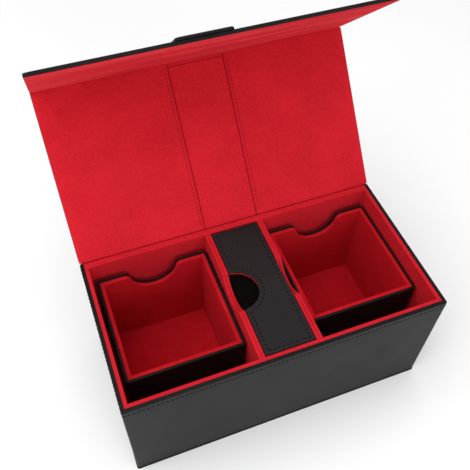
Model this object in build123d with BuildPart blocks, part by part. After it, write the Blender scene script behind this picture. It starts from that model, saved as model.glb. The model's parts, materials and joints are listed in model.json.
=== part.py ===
"""Leather-wrapped card box: hinged lid with a fold-down flap, two lift-out
deck boxes, and a lift-out centre sleeve that holds a sliding drawer tray.

Origin: centre of the base on the table. +X right, -Y front, +Z up. Sizes in mm.
The box is drawn as it stands open: the lid leans back and its flap points forward.
"""

import os
from dataclasses import dataclass
from math import cos, radians, sin

from build123d import *

# ---------------------------------------------------------------- case
WIDTH = 250.0
DEPTH = 128.0
HEIGHT = 111.0
CORNER = 3.5          # rounding of the four upright corners
BASE = 1.6            # base sheet
BASE_PROUD = 0.5      # the base sheet stands out this far past the walls
LEATHER = 0.9
WALL_BOARD = 4.2
SUEDE = 0.7
WALL = LEATHER + WALL_BOARD + SUEDE
FLOOR_SUEDE = 3.0     # suede on a foam pad
RIM = 2.9             # leather turned in over the rim
SETBACK = 0.2         # suede lies this far below the leather at a rim
FLOOR_TOP = BASE + WALL_BOARD + FLOOR_SUEDE
BOARD_TOP = HEIGHT - LEATHER

# ---------------------------------------------------------------- dividers
DIVIDER_X = 22.3
DIVIDER_BOARD = 2.4
DIVIDER_SUEDE = 1.1
DIVIDER_TOP = HEIGHT - 0.5
DIVIDER_NOTCH_R = 21.0
DIVIDER_NOTCH_DEPTH = 10.0
DIVIDER_SHOULDER = 2.0
DIVIDER_SEAM = 0.6    # seam along the top of each divider

# ---------------------------------------------------------------- lid and flap
LID_LENGTH = 131.5    # hinge line to fold line
LID_ANGLE = 130.0     # opened from the closed position
LID_BOARD = 1.4
LID_THICK = LEATHER + LID_BOARD + SUEDE
HINGE_GAP = 1.5
HINGE_LAP = 8.0       # hinge leather let into the back wall and into the lid
HINGE_WIDTH = WIDTH - 2 * CORNER
HINGE_Y = DEPTH / 2 - 0.6
HINGE_Z = HEIGHT + 0.5
CREASE = 1.0          # between the three suede panels of the lid
FLAP_LENGTH = 96.0
FLAP_BEND = 87.0      # from flat with the lid
FLAP_ANGLE = LID_ANGLE - FLAP_BEND
FLAP_CORNER = 4.0
FOLD_GAP = 0.6
FOLD_LAP = 1.0
TAB_LEFT = -33.0
TAB_RIGHT = 6.0
TAB_THICK = 2.0
TAB_LENGTH = 22.0
TAB_OVERHANG = 1.2
MAGNET_R = 6.0
MAGNET_X = 60.0
MAGNET_REACH = 85.0   # from the fold line
MAGNET_THICK = 2.0

# ---------------------------------------------------------------- deck boxes
DECK_WIDTH = 90.5
DECK_LENGTH = 91.0
DECK_TOP = HEIGHT - 15.0
DECK_BOARD = 3.0
DECK_SUEDE = 1.1
DECK_PAD = 2.6        # suede pad on the floor
DECK_RIM = 2.2
DECK_CORNER = 2.5
DECK_NOTCH_R = 19.0
DECK_SHOULDER = 5.0
LEFT_DECK_X = -71.0
RIGHT_DECK_X = 72.8
DECK_Y = 8.5
PLAY = 0.2            # under every box that lifts out

# ---------------------------------------------------------------- sleeve and drawer tray
SLEEVE_WIDTH = 38.6
SLEEVE_LENGTH = 115.0
SLEEVE_TOP = HEIGHT - 0.7
SLEEVE_BOARD = 1.4
SLEEVE_WALL = LEATHER + SLEEVE_BOARD + SUEDE
SLEEVE_RIM = 1.3      # the suede shows beyond it, on the notch edge
SLEEVE_CORNER = 1.6
SLEEVE_NOTCH_R = 17.0
SLEEVE_SHOULDER = 1.2
TRAY_PLAY = 0.4
TRAY_RECESS = 0.5
TRAY_BOARD = 1.2

# ---------------------------------------------------------------- derived places
BOX_FLOOR = FLOOR_TOP + PLAY
FOLD_Y = HINGE_Y - LID_LENGTH * cos(radians(LID_ANGLE))
FOLD_Z = HINGE_Z + LID_LENGTH * sin(radians(LID_ANGLE))
MAGNET_SPOTS = ((-MAGNET_X, HINGE_Z - MAGNET_REACH), (MAGNET_X, HINGE_Z - MAGNET_REACH))


def leaf_plane(y, z, angle):
    """Inner face of a leaf that turns about X. Local Y runs along the leaf, Z out of its back."""
    outward = (0, sin(radians(angle)), cos(radians(angle)))
    return Plane(origin=(0, y, z), x_dir=(-1, 0, 0), z_dir=outward)


LID_PLANE = leaf_plane(HINGE_Y, HINGE_Z, LID_ANGLE)
FLAP_PLANE = leaf_plane(FOLD_Y, FOLD_Z, FLAP_ANGLE)


def leaf_point(plane, along, out):
    """A point of a leaf as (y, z), for lines drawn on the YZ plane."""
    place = plane.origin + plane.y_dir * along + plane.z_dir * out
    return (place.Y, place.Z)


pieces = {}


def keep(name, builder):
    """Label a finished piece and set it aside for writing."""
    builder.part.label = name
    pieces[name] = builder.part


# ================================================================ case
with BuildPart() as base_sheet:
    with BuildSketch():
        RectangleRounded(WIDTH + 2 * BASE_PROUD, DEPTH + 2 * BASE_PROUD, CORNER + BASE_PROUD)
    extrude(amount=BASE)
    chamfer(base_sheet.edges().group_by(Axis.Z)[-1], 0.4)
keep("base_sheet", base_sheet)

with BuildPart() as floor_board:
    with BuildSketch(Plane.XY.offset(BASE)):
        Rectangle(WIDTH - 2 * LEATHER - 2 * WALL_BOARD, DEPTH - 2 * LEATHER - 2 * WALL_BOARD)
    extrude(amount=WALL_BOARD)
keep("floor_board", floor_board)

for name, side in (("front_board", -1), ("back_board", 1)):
    with BuildPart() as long_board:
        with BuildSketch(Plane.XY.offset(BASE)) as outline:
            with Locations((0, side * (DEPTH / 2 - LEATHER - WALL_BOARD / 2))):
                Rectangle(WIDTH - 2 * LEATHER, WALL_BOARD)
            fillet(outline.vertices().sort_by(lambda v: side * v.Y)[-2:], CORNER - LEATHER)
        extrude(amount=BOARD_TOP - BASE)
        if side < 0:
            with BuildSketch(Plane.XZ.offset(DEPTH / 2 - LEATHER)):
                with Locations(*MAGNET_SPOTS):
                    Circle(MAGNET_R)
            extrude(amount=-MAGNET_THICK, mode=Mode.SUBTRACT)
    keep(name, long_board)

for name, side in (("left_side_board", -1), ("right_side_board", 1)):
    with BuildPart() as side_board:
        with BuildSketch(Plane.XY.offset(BASE)):
            with Locations((side * (WIDTH / 2 - LEATHER - WALL_BOARD / 2), 0)):
                Rectangle(WALL_BOARD, DEPTH - 2 * LEATHER - 2 * WALL_BOARD)
        extrude(amount=BOARD_TOP - BASE)
    keep(name, side_board)

with BuildPart() as front_magnets:
    with BuildSketch(Plane.XZ.offset(DEPTH / 2 - LEATHER)):
        with Locations(*MAGNET_SPOTS):
            Circle(MAGNET_R)
    extrude(amount=-MAGNET_THICK)
keep("front_magnets", front_magnets)

# Outer leather: a skin round the four walls, turned in over the rim at the front and sides.
# Along the back it stops short, where the hinge leather takes its place.
with BuildPart() as case_cover:
    with BuildSketch(Plane.XY.offset(BASE)):
        RectangleRounded(WIDTH, DEPTH, CORNER)
    extrude(amount=HEIGHT - BASE)
    fillet(case_cover.edges().group_by(Axis.Z)[-1], 0.7)
    with BuildSketch(Plane.XY.offset(BASE)):
        RectangleRounded(WIDTH - 2 * LEATHER, DEPTH - 2 * LEATHER, CORNER - LEATHER)
    extrude(amount=BOARD_TOP - BASE, mode=Mode.SUBTRACT)
    with BuildSketch(Plane.XY.offset(BOARD_TOP)):
        with Locations((0, RIM / 2)):
            Rectangle(WIDTH - 2 * RIM, DEPTH - RIM)
    extrude(amount=LEATHER, mode=Mode.SUBTRACT)
    with BuildSketch(Plane.XZ.offset(-DEPTH / 2)):
        with Locations((0, HEIGHT)):
            Rectangle(HINGE_WIDTH, 2 * HINGE_LAP)
    extrude(amount=LEATHER, mode=Mode.SUBTRACT)
keep("case_cover", case_cover)

# Suede round the inside, turned out over the rim until it meets the leather.
with BuildPart() as wall_lining:
    with BuildSketch(Plane.XY.offset(FLOOR_TOP)):
        Rectangle(WIDTH - 2 * (WALL - SUEDE), DEPTH - 2 * (WALL - SUEDE))
    extrude(amount=HEIGHT - SETBACK - FLOOR_TOP)
    with BuildSketch(Plane.XY.offset(BOARD_TOP)):
        with Locations((0, (RIM - LEATHER) / 2)):
            Rectangle(WIDTH - 2 * RIM, DEPTH - RIM - LEATHER)
    extrude(amount=LEATHER - SETBACK)
    with BuildSketch(Plane.XY.offset(FLOOR_TOP)):
        Rectangle(WIDTH - 2 * WALL, DEPTH - 2 * WALL)
    extrude(amount=HEIGHT, mode=Mode.SUBTRACT)
keep("wall_lining", wall_lining)

with BuildPart() as floor_lining:
    with BuildSketch(Plane.XY.offset(FLOOR_TOP - FLOOR_SUEDE)):
        Rectangle(WIDTH - 2 * (WALL - SUEDE), DEPTH - 2 * (WALL - SUEDE))
    extrude(amount=FLOOR_SUEDE)
keep("floor_lining", floor_lining)


# ================================================================ dividers
def divider_face(x, shrink):
    """Side view of a divider with its thumb dip, drawn in by shrink along the top edge."""
    level = DIVIDER_TOP - FLOOR_TOP
    with BuildSketch(Plane(origin=(x, 0, FLOOR_TOP), x_dir=(0, 1, 0), z_dir=(1, 0, 0))) as face:
        Rectangle(DEPTH - 2 * WALL, level - shrink, align=(Align.CENTER, Align.MIN))
        with Locations((0, level + DIVIDER_NOTCH_R - DIVIDER_NOTCH_DEPTH)):
            Circle(DIVIDER_NOTCH_R + shrink, mode=Mode.SUBTRACT)
        shoulders = face.vertices().group_by(Axis.Y)[-1].sort_by(lambda v: abs(v.X))[:2]
        fillet(shoulders, DIVIDER_SHOULDER - shrink)
    return face.sketch


for hand, side in (("left", -1), ("right", 1)):
    near = side * DIVIDER_X - DIVIDER_BOARD / 2
    seam = side * DIVIDER_X - DIVIDER_SEAM / 2
    with BuildPart() as divider_board:
        extrude(divider_face(near, DIVIDER_SUEDE), amount=DIVIDER_BOARD)
    keep(hand + "_divider_board", divider_board)

    with BuildPart() as divider_lining:
        extrude(divider_face(near - DIVIDER_SUEDE, 0), amount=DIVIDER_BOARD + 2 * DIVIDER_SUEDE)
        extrude(divider_face(seam, 0), amount=DIVIDER_SEAM, mode=Mode.SUBTRACT)
        extrude(divider_face(seam, DIVIDER_SEAM), amount=DIVIDER_SEAM)
        extrude(divider_face(near, DIVIDER_SUEDE), amount=DIVIDER_BOARD, mode=Mode.SUBTRACT)
    keep(hand + "_divider_lining", divider_lining)


# ================================================================ lid
def across(plane, start, end, width):
    """A plain rectangle on a leaf, from start to end along it and centred across it."""
    with BuildSketch(plane) as panel:
        with Locations((0, (start + end) / 2)):
            Rectangle(width, end - start)
    return panel.sketch


def long_edges(builder, plane, place):
    """Edges that run along a leaf, on its inner (place 0) or outer (place -1) face."""
    face = builder.faces().sort_by(Axis((0, 0, 0), plane.z_dir))[place]
    return [edge for edge in face.edges() if abs(edge.tangent_at(0.5).X) < 0.1]


with BuildPart() as lid_board:
    extrude(across(LID_PLANE.offset(SUEDE), HINGE_GAP, LID_LENGTH - FOLD_GAP, WIDTH - 2 * LEATHER),
            amount=LID_BOARD)
keep("lid_board", lid_board)

# Leather on the back of the lid, turned round its two ends. The hinge leather is let in flush.
with BuildPart() as lid_cover:
    extrude(across(LID_PLANE, HINGE_GAP, LID_LENGTH - FOLD_LAP, WIDTH), amount=LID_THICK)
    fillet(long_edges(lid_cover, LID_PLANE, -1), 0.6)
    extrude(across(LID_PLANE, 0, LID_LENGTH, WIDTH - 2 * LEATHER), amount=LID_THICK - LEATHER,
            mode=Mode.SUBTRACT)
    extrude(across(LID_PLANE.offset(LID_THICK - LEATHER), 0, HINGE_LAP, HINGE_WIDTH), amount=LEATHER,
            mode=Mode.SUBTRACT)
keep("lid_cover", lid_cover)

LINING_HALF = WIDTH / 2 - LEATHER
PANELS = (
    ("lid_lining_left", -LINING_HALF, -DIVIDER_X - CREASE / 2),
    ("lid_lining_centre", -DIVIDER_X + CREASE / 2, DIVIDER_X - CREASE / 2),
    ("lid_lining_right", DIVIDER_X + CREASE / 2, LINING_HALF),
)
for name, low, high in PANELS:
    with BuildPart() as lid_lining:
        with BuildSketch(LID_PLANE):
            with Locations((-(low + high) / 2, (HINGE_GAP + LID_LENGTH - FOLD_GAP) / 2)):
                Rectangle(high - low, LID_LENGTH - FOLD_GAP - HINGE_GAP)
        extrude(amount=SUEDE)
        fillet(long_edges(lid_lining, LID_PLANE, 0), 0.4)
    keep(name, lid_lining)

# Hinge leather: from the back wall, out under the lid's edge, and up the back of the lid.
with BuildPart() as lid_hinge_leather:
    with BuildSketch(Plane.YZ.offset(-HINGE_WIDTH / 2)):
        with BuildLine() as fold_path:
            FilletPolyline(
                (DEPTH / 2 - LEATHER / 2, HEIGHT - HINGE_LAP),
                (DEPTH / 2 - LEATHER / 2, HEIGHT - 1.8),
                leaf_point(LID_PLANE, HINGE_GAP / 2, LID_THICK - LEATHER / 2),
                leaf_point(LID_PLANE, HINGE_LAP, LID_THICK - LEATHER / 2),
                radius=0.6,
            )
        trace(fold_path.line, line_width=LEATHER)
    extrude(amount=HINGE_WIDTH)
keep("lid_hinge_leather", lid_hinge_leather)

# Hinge suede: carries the lining from the back rim across to the lid.
with BuildPart() as lid_hinge_suede:
    with BuildSketch(Plane.YZ.offset(-HINGE_WIDTH / 2)):
        with BuildLine() as fold_path:
            FilletPolyline(
                (DEPTH / 2 - LEATHER, HEIGHT - SETBACK - SUEDE / 2),
                (DEPTH / 2 - 0.2, HEIGHT - SETBACK - SUEDE / 2),
                leaf_point(LID_PLANE, HINGE_GAP / 2, SUEDE / 2),
                leaf_point(LID_PLANE, HINGE_GAP, SUEDE / 2),
                radius=0.36,
            )
        trace(fold_path.line, line_width=SUEDE)
    extrude(amount=HINGE_WIDTH)
keep("lid_hinge_suede", lid_hinge_suede)

# ================================================================ flap
with BuildPart() as flap_fold_leather:
    with BuildSketch(Plane.YZ.offset(-WIDTH / 2)):
        with BuildLine() as fold_path:
            middle = LID_THICK - LEATHER / 2
            turned = leaf_plane(FOLD_Y, FOLD_Z, (LID_ANGLE + FLAP_ANGLE) / 2)
            Line(leaf_point(LID_PLANE, LID_LENGTH - FOLD_LAP, middle), leaf_point(LID_PLANE, LID_LENGTH, middle))
            ThreePointArc(
                leaf_point(LID_PLANE, LID_LENGTH, middle),
                leaf_point(turned, 0, middle),
                leaf_point(FLAP_PLANE, 0, middle),
            )
            Line(leaf_point(FLAP_PLANE, 0, middle), leaf_point(FLAP_PLANE, FOLD_LAP, middle))
        trace(fold_path.line, line_width=LEATHER)
    extrude(amount=WIDTH)
keep("flap_fold_leather", flap_fold_leather)


def flap_outline(plane, start, inset):
    """Flap outline with its two free corners rounded, drawn in by inset."""
    with BuildSketch(plane) as outline:
        with Locations((0, (start + FLAP_LENGTH - inset) / 2)):
            Rectangle(WIDTH - 2 * inset, FLAP_LENGTH - inset - start)
        fillet(outline.vertices().group_by(Axis.Y)[-1], FLAP_CORNER - inset)
    return outline.sketch


FLAP_MAGNET_SPOTS = ((-MAGNET_X, MAGNET_REACH), (MAGNET_X, MAGNET_REACH))
with BuildPart() as flap_board:
    extrude(flap_outline(FLAP_PLANE.offset(SUEDE), FOLD_GAP, LEATHER), amount=LID_BOARD)
    with BuildSketch(FLAP_PLANE.offset(SUEDE)):
        with Locations(*FLAP_MAGNET_SPOTS):
            Circle(MAGNET_R)
    extrude(amount=LID_BOARD, mode=Mode.SUBTRACT)
keep("flap_board", flap_board)

with BuildPart() as flap_magnets:
    with BuildSketch(FLAP_PLANE.offset(SUEDE)):
        with Locations(*FLAP_MAGNET_SPOTS):
            Circle(MAGNET_R)
    extrude(amount=LID_BOARD)
keep("flap_magnets", flap_magnets)

with BuildPart() as flap_cover:
    extrude(flap_outline(FLAP_PLANE, FOLD_LAP, 0), amount=LID_THICK)
    fillet(long_edges(flap_cover, FLAP_PLANE, -1), 0.6)
    extrude(flap_outline(FLAP_PLANE, 0, LEATHER), amount=LID_THICK - LEATHER, mode=Mode.SUBTRACT)
keep("flap_cover", flap_cover)

with BuildPart() as flap_lining:
    extrude(flap_outline(FLAP_PLANE, FOLD_GAP, LEATHER), amount=SUEDE)
    fillet(long_edges(flap_lining, FLAP_PLANE, 0), 0.4)
keep("flap_lining", flap_lining)

with BuildPart() as flap_tab:
    with BuildSketch(FLAP_PLANE.offset(LID_THICK)):
        with Locations((-(TAB_LEFT + TAB_RIGHT) / 2, FLAP_LENGTH + TAB_OVERHANG - TAB_LENGTH / 2)):
            RectangleRounded(TAB_RIGHT - TAB_LEFT, TAB_LENGTH, 3.0)
    extrude(amount=TAB_THICK)
    outer_face = flap_tab.faces().sort_by(Axis((0, 0, 0), FLAP_PLANE.z_dir))[-1]
    chamfer(outer_face.edges(), 0.7)
keep("flap_tab", flap_tab)


# ================================================================ wrapped boxes
@dataclass
class OpenBox:
    """Board box wrapped in leather outside and suede inside.

    Its floor lies on the plane, and it is open along the plane's normal. The wall at
    local +Y may have a half-round finger notch in its rim.
    """

    at: Plane
    width: float
    length: float
    depth: float
    board: float
    suede: float
    pad: float
    rim: float
    corner: float
    notch: float = 0.0
    shoulder: float = 0.0

    @property
    def wall(self):
        return LEATHER + self.board + self.suede


def notch_area(box, grow, inset=0.0):
    """Finger notch seen square to its wall, grown all round, at a depth into the wall."""
    rim_point = box.at.origin + box.at.y_dir * (box.length / 2 - inset) + box.at.z_dir * box.depth
    with BuildSketch(Plane(origin=rim_point, x_dir=box.at.x_dir, z_dir=-box.at.y_dir)) as area:
        Circle(box.notch + grow)
        with Locations((0, -grow)):
            Rectangle(2 * box.notch + 4 * box.shoulder, 2 * box.notch, align=(Align.CENTER, Align.MIN))
        meeting = [v for v in area.vertices() if abs(v.Y + grow) < 0.01 and abs(v.X) < box.notch + grow + 0.01]
        fillet(meeting, box.shoulder - grow)
    return area.sketch


def turned_edge(box, start, end, grow):
    """Sheet turned in round the notch edge, between two depths of the wall."""
    with BuildPart() as edge:
        extrude(notch_area(box, LEATHER, start), amount=end - start)
        extrude(notch_area(box, grow, start), amount=end - start, mode=Mode.SUBTRACT)
        with BuildSketch(box.at.offset(box.depth - grow)):
            Rectangle(3 * box.width, 3 * box.length)
        extrude(amount=3 * box.notch, mode=Mode.SUBTRACT)
    return edge.part


def box_cover(box):
    """Leather: floor and walls outside, turned in over the rim and the notch."""
    with BuildPart() as cover:
        with BuildSketch(box.at):
            RectangleRounded(box.width, box.length, box.corner)
        extrude(amount=box.depth)
        with BuildSketch(box.at.offset(LEATHER)):
            RectangleRounded(box.width - 2 * LEATHER, box.length - 2 * LEATHER, box.corner - LEATHER)
        extrude(amount=box.depth - 2 * LEATHER, mode=Mode.SUBTRACT)
        with BuildSketch(box.at.offset(box.depth - LEATHER)):
            Rectangle(box.width - 2 * box.rim, box.length - 2 * box.rim)
        extrude(amount=LEATHER, mode=Mode.SUBTRACT)
        if box.notch:
            extrude(notch_area(box, 0), amount=box.wall, mode=Mode.SUBTRACT)
            add(turned_edge(box, 0, box.rim, 0))
    return cover


def box_lining(box):
    """Suede: floor pad and walls inside, turned out over the rim up to the leather."""
    skin = LEATHER + box.board
    with BuildPart() as lining:
        with BuildSketch(box.at.offset(skin)):
            Rectangle(box.width - 2 * skin, box.length - 2 * skin)
        extrude(amount=box.depth - SETBACK - skin)
        with BuildSketch(box.at.offset(box.depth - LEATHER)):
            Rectangle(box.width - 2 * box.rim, box.length - 2 * box.rim)
        extrude(amount=LEATHER - SETBACK)
        with BuildSketch(box.at.offset(skin + box.pad)):
            Rectangle(box.width - 2 * box.wall, box.length - 2 * box.wall)
        extrude(amount=box.depth, mode=Mode.SUBTRACT)
        if box.notch:
            extrude(notch_area(box, SETBACK), amount=box.wall, mode=Mode.SUBTRACT)
            add(turned_edge(box, box.rim, box.wall, SETBACK))
    return lining


def floor_panel(box):
    with BuildPart() as panel:
        with BuildSketch(box.at.offset(LEATHER)):
            RectangleRounded(box.width - 2 * LEATHER, box.length - 2 * LEATHER, box.corner - LEATHER)
        extrude(amount=box.board)
    return panel


def cross_panel(box, side):
    """Wall board at local +Y or -Y, the full width of the box, with its outer corners eased."""
    with BuildPart() as panel:
        with BuildSketch(box.at.offset(LEATHER + box.board)) as outline:
            with Locations((0, side * (box.length / 2 - LEATHER - box.board / 2))):
                Rectangle(box.width - 2 * LEATHER, box.board)
            fillet(outline.vertices().sort_by(lambda v: side * v.Y)[-2:], box.corner - LEATHER)
        extrude(amount=box.depth - 2 * LEATHER - box.board)
        if box.notch and side > 0:
            extrude(notch_area(box, LEATHER), amount=box.wall, mode=Mode.SUBTRACT)
    return panel


def side_panel(box, side):
    """Wall board at local +X or -X, fitted between the two cross panels."""
    with BuildPart() as panel:
        with BuildSketch(box.at.offset(LEATHER + box.board)):
            with Locations((side * (box.width / 2 - LEATHER - box.board / 2), 0)):
                Rectangle(box.board, box.length - 2 * LEATHER - 2 * box.board)
        extrude(amount=box.depth - 2 * LEATHER - box.board)
    return panel


def keep_box(name, box, floor, plus_y, minus_y, plus_x, minus_x):
    """The seven pieces of a wrapped box, each board named by where it stands."""
    keep(f"{name}_{floor}_board", floor_panel(box))
    keep(f"{name}_{plus_y}_board", cross_panel(box, 1))
    keep(f"{name}_{minus_y}_board", cross_panel(box, -1))
    keep(f"{name}_{plus_x}_board", side_panel(box, 1))
    keep(f"{name}_{minus_x}_board", side_panel(box, -1))
    keep(f"{name}_cover", box_cover(box))
    keep(f"{name}_lining", box_lining(box))


for hand, centre in (("left", LEFT_DECK_X), ("right", RIGHT_DECK_X)):
    deck = OpenBox(
        at=Plane(origin=(centre, DECK_Y, BOX_FLOOR), x_dir=(1, 0, 0), z_dir=(0, 0, 1)),
        width=DECK_WIDTH,
        length=DECK_LENGTH,
        depth=DECK_TOP - BOX_FLOOR,
        board=DECK_BOARD,
        suede=DECK_SUEDE,
        pad=DECK_PAD,
        rim=DECK_RIM,
        corner=DECK_CORNER,
        notch=DECK_NOTCH_R,
        shoulder=DECK_SHOULDER,
    )
    keep_box(hand + "_deck", deck, "floor", "back", "front", "right", "left")

# The sleeve stands on its side: its closed face is on the right and it opens to the left.
SLEEVE_HEIGHT = SLEEVE_TOP - BOX_FLOOR
SLEEVE_MIDDLE = (SLEEVE_TOP + BOX_FLOOR) / 2
sleeve = OpenBox(
    at=Plane(origin=(SLEEVE_WIDTH / 2, 0, SLEEVE_MIDDLE), x_dir=(0, -1, 0), z_dir=(-1, 0, 0)),
    width=SLEEVE_LENGTH,
    length=SLEEVE_HEIGHT,
    depth=SLEEVE_WIDTH,
    board=SLEEVE_BOARD,
    suede=SUEDE,
    pad=SUEDE,
    rim=SLEEVE_RIM,
    corner=SLEEVE_CORNER,
    notch=SLEEVE_NOTCH_R,
    shoulder=SLEEVE_SHOULDER,
)
keep_box("sleeve", sleeve, "closed_side", "top", "bottom", "front", "back")

# The drawer tray sits in the sleeve with its floor on the left and its mouth to the right.
tray = OpenBox(
    at=Plane(origin=(TRAY_RECESS - SLEEVE_WIDTH / 2, 0, SLEEVE_MIDDLE), x_dir=(0, 1, 0), z_dir=(1, 0, 0)),
    width=SLEEVE_LENGTH - 2 * SLEEVE_WALL - 2 * TRAY_PLAY,
    length=SLEEVE_HEIGHT - 2 * SLEEVE_WALL - 2 * TRAY_PLAY,
    depth=SLEEVE_WIDTH - SLEEVE_WALL - TRAY_PLAY - TRAY_RECESS,
    board=TRAY_BOARD,
    suede=SUEDE,
    pad=SUEDE,
    rim=LEATHER + TRAY_BOARD,
    corner=SLEEVE_CORNER,
)
keep_box("drawer", tray, "base", "top", "bottom", "back", "front")

os.makedirs("parts", exist_ok=True)
for name, part in pieces.items():
    export_step(part, f"parts/{name}.step")
print(len(pieces), "pieces")
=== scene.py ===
"""Looks of a leather card box with a lift-out drawer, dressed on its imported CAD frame.

Sizes are in metres in the part's own frame: centre of the base on the floor,
+X right, -Y front, +Z up. The box stands open, its lid leaning back and the flap
pointing forward.
"""

import json
import logging
from collections.abc import Callable
from dataclasses import dataclass
from enum import Enum
from math import asin, atan2, copysign, cos, hypot, pi, radians, sin, sqrt
from typing import ClassVar

import bmesh
import bpy
from mathutils import Matrix, Vector

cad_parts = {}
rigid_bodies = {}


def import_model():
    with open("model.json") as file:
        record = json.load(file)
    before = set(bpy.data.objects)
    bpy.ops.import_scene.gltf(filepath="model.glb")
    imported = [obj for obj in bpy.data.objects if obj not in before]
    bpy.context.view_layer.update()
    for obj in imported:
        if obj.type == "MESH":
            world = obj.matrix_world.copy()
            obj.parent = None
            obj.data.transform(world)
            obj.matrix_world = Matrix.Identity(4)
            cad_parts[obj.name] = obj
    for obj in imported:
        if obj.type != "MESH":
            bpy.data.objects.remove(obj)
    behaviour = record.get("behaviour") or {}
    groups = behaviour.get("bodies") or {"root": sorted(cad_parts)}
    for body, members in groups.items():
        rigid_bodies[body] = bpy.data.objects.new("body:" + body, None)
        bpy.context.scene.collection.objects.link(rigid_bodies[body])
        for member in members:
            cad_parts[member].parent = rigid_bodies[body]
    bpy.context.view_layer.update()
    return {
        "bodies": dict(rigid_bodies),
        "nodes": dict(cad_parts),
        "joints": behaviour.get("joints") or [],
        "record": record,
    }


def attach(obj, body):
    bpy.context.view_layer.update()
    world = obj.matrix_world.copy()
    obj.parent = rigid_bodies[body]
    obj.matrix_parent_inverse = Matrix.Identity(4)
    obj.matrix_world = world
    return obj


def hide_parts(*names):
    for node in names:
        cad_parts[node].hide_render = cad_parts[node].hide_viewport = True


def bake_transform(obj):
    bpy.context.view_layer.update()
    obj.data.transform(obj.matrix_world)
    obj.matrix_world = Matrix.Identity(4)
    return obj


LOG = logging.getLogger("card_box")
CLOTH_MAP = "cloth"
TOUCH = 1e-6  # closer than this, two places are one
MERGE = 2e-6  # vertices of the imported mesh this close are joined
FLAT_ANGLE = radians(0.6)  # facets that turn less are one face
HARD_ANGLE = radians(40)  # edges that turn more are rounded
SHARP_ANGLE = radians(50)  # edges that turn more stay sharp in the shading
FINE_EASE = 0.0002  # rounding of thin linings
SLEEVE_EASE = 0.00025  # rounding of the sleeve's leather, whose rim is narrow
SHEET_EASE = 0.0003  # rounding of leather and thick linings
ROLLED_EASE = 0.0004  # rounding of edges that the leather is rolled over
LONG_RUN = 0.0012  # longer runs of a strip are cut, so that they can bend
RUN_CUTS = 4  # cuts in a long run
BEND_SEGMENTS = 4  # facets that round a bend of a strip
Colour = tuple[float, float, float, float]
Shaping = Callable[[bmesh.types.BMesh], None]


def paint(red: int, green: int, blue: int) -> Colour:
    """Turn a screen colour into the linear colour that a shader takes.

    Args:
        red: Red from 0 to 255.
        green: Green from 0 to 255.
        blue: Blue from 0 to 255.

    Returns:
        The linear colour, opaque.
    """
    linear = [
        part / 12.92 if part <= 0.04045 else ((part + 0.055) / 1.055) ** 2.4
        for part in (red / 255, green / 255, blue / 255)
    ]
    return (*linear, 1.0)


class Grain(Enum):
    """How the face of a leather is pressed."""

    PEBBLE = "pebble"
    TWILL = "twill"
    SMOOTH = "smooth"


# ---------------------------------------------------------------- shader writing
class Wire:
    """A shader socket that sums and products are written with."""

    def __init__(self, bench: "ShaderBench", socket: bpy.types.NodeSocket) -> None:
        """Hold a socket and the tree it belongs to."""
        self.bench = bench
        self.socket = socket

    def _math(self, operation: str, *values: "Wire | float") -> "Wire":
        """Add one Math node over the values."""
        return self.bench.node(
            "ShaderNodeMath", {"operation": operation}, dict(enumerate(values))
        )

    def __add__(self, other: "Wire | float") -> "Wire":
        """Sum of two values."""
        return self._math("ADD", self, other)

    def __radd__(self, other: "Wire | float") -> "Wire":
        """Sum with a plain number first."""
        return self._math("ADD", other, self)

    def __sub__(self, other: "Wire | float") -> "Wire":
        """Difference of two values."""
        return self._math("SUBTRACT", self, other)

    def __rsub__(self, other: "Wire | float") -> "Wire":
        """Difference with a plain number first."""
        return self._math("SUBTRACT", other, self)

    def __mul__(self, other: "Wire | float") -> "Wire":
        """Product of two values."""
        return self._math("MULTIPLY", self, other)

    def sine(self) -> "Wire":
        """Sine of the value in radians."""
        return self._math("SINE", self)

    def at_least(self, other: "Wire | float") -> "Wire":
        """The larger of two values."""
        return self._math("MAXIMUM", self, other)

    def size(self) -> "Wire":
        """The value without its sign."""
        return self._math("ABSOLUTE", self)

    def held(self, low: float, high: float) -> "Wire":
        """Spread low..high over 0..1 and hold it there.

        Args:
            low: Value that becomes 0.
            high: Value that becomes 1.

        Returns:
            The spread value.
        """
        return self.bench.node(
            "ShaderNodeMapRange", {"clamp": True}, {0: self, 1: low, 2: high}
        )


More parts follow.
